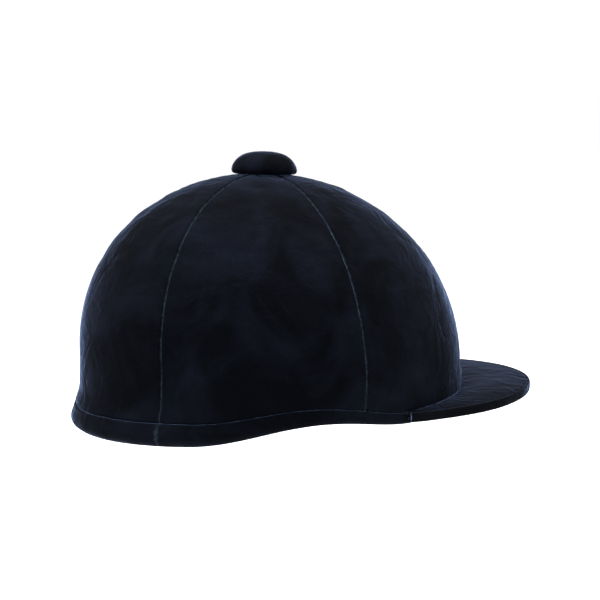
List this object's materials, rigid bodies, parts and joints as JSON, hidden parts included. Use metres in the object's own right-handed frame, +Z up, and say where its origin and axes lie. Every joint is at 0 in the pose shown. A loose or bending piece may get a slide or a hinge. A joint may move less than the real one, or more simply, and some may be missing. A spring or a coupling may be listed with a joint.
{
  "type": "equestrian riding helmet",
  "caption": "Navy velvet hunt cap with a covered crown button, a flat front peak, a foam-lined hard shell and a hinged harness tucked inside",
  "frame": {"origin": "middle of the cap's footprint, peak included, on the flat surface that it stands on", "axes": "+Z up, -Y to the front where the peak points, +X to the wearer's left"},
  "size_m": [0.2146, 0.3146, 0.1643],
  "materials": {
    "velvet": "cotton velvet, dark navy",
    "binding": "folded velvet binding, darker navy",
    "shell": "moulded black shell",
    "board": "flexible black board",
    "foam": "expanded bead foam, white",
    "lining": "black knitted lining cloth",
    "leather": "black grained leather",
    "webbing": "woven black polyester webbing",
    "acetal": "moulded black acetal",
    "brass": "brass rivet",
    "steel": "zinc-plated steel"
  },
  "bodies": {
    "cap": {"brow_pad": "lining", "button_core": "board", "button_cover": "velvet", "button_nut": "steel", "button_stud": "steel", "button_washer": "steel", "crown_pad": "lining", "front_rivet_left": "brass", "front_rivet_right": "brass", "front_tab_left": "webbing", "front_tab_right": "webbing", "headband": "leather", "impact_liner": "foam", "lining_cap": "lining", "nape_pad": "lining", "outer_shell": "shell", "peak_board": "board", "peak_edge_binding": "binding", "peak_rivet_left": "steel", "peak_rivet_middle": "steel", "peak_rivet_right": "steel", "peak_top_velvet": "velvet", "peak_underside_lining": "lining", "rear_rivet_left": "brass", "rear_rivet_right": "brass", "rear_tab_left": "webbing", "rear_tab_right": "webbing", "rim_band": "velvet", "velvet_panel_front": "velvet", "velvet_panel_front_left": "velvet", "velvet_panel_front_right": "velvet", "velvet_panel_rear": "velvet", "velvet_panel_rear_left": "velvet", "velvet_panel_rear_right": "velvet"},
    "side_straps_left": {"front_strap_left": "webbing", "rear_strap_left": "webbing", "divider_left": "acetal"},
    "chin_left": {"chin_strap_left": "webbing", "keeper_left": "webbing", "buckle_plug": "acetal"},
    "side_straps_right": {"front_strap_right": "webbing", "rear_strap_right": "webbing", "divider_right": "acetal"},
    "chin_right": {"chin_strap_right": "webbing", "keeper_right": "webbing", "strap_adjuster": "acetal", "buckle_socket": "acetal"}
  },
  "joints": [
    {"name": "side_fold_left", "type": "hinge", "parent": "cap", "child": "side_straps_left", "pos_m": [0.0644, -0.01474, 0.0046], "axis": [0.1401, -0.9901, 0.0038], "range_deg": [0, 166]},
    {"name": "chin_fold_left", "type": "hinge", "parent": "side_straps_left", "child": "chin_left", "pos_m": [0.03491, 0.03395, 0.09415], "axis": [0.2566, -0.9594, 0.1174], "range_deg": [0, 165.6]},
    {"name": "side_fold_right", "type": "hinge", "parent": "cap", "child": "side_straps_right", "pos_m": [-0.0644, -0.01474, 0.0046], "axis": [0.1401, 0.9901, -0.0038], "range_deg": [0, 166]},
    {"name": "chin_fold_right", "type": "hinge", "parent": "side_straps_right", "child": "chin_right", "pos_m": [-0.03491, 0.03395, 0.09415], "axis": [0.2566, 0.9594, -0.1174], "range_deg": [0, 165.6]}
  ],
  "couplings": [
    {"joint": "chin_fold_left", "follows": "side_fold_left", "ratio": 0.9976},
    {"joint": "chin_fold_right", "follows": "side_fold_right", "ratio": 0.9976}
  ]
}
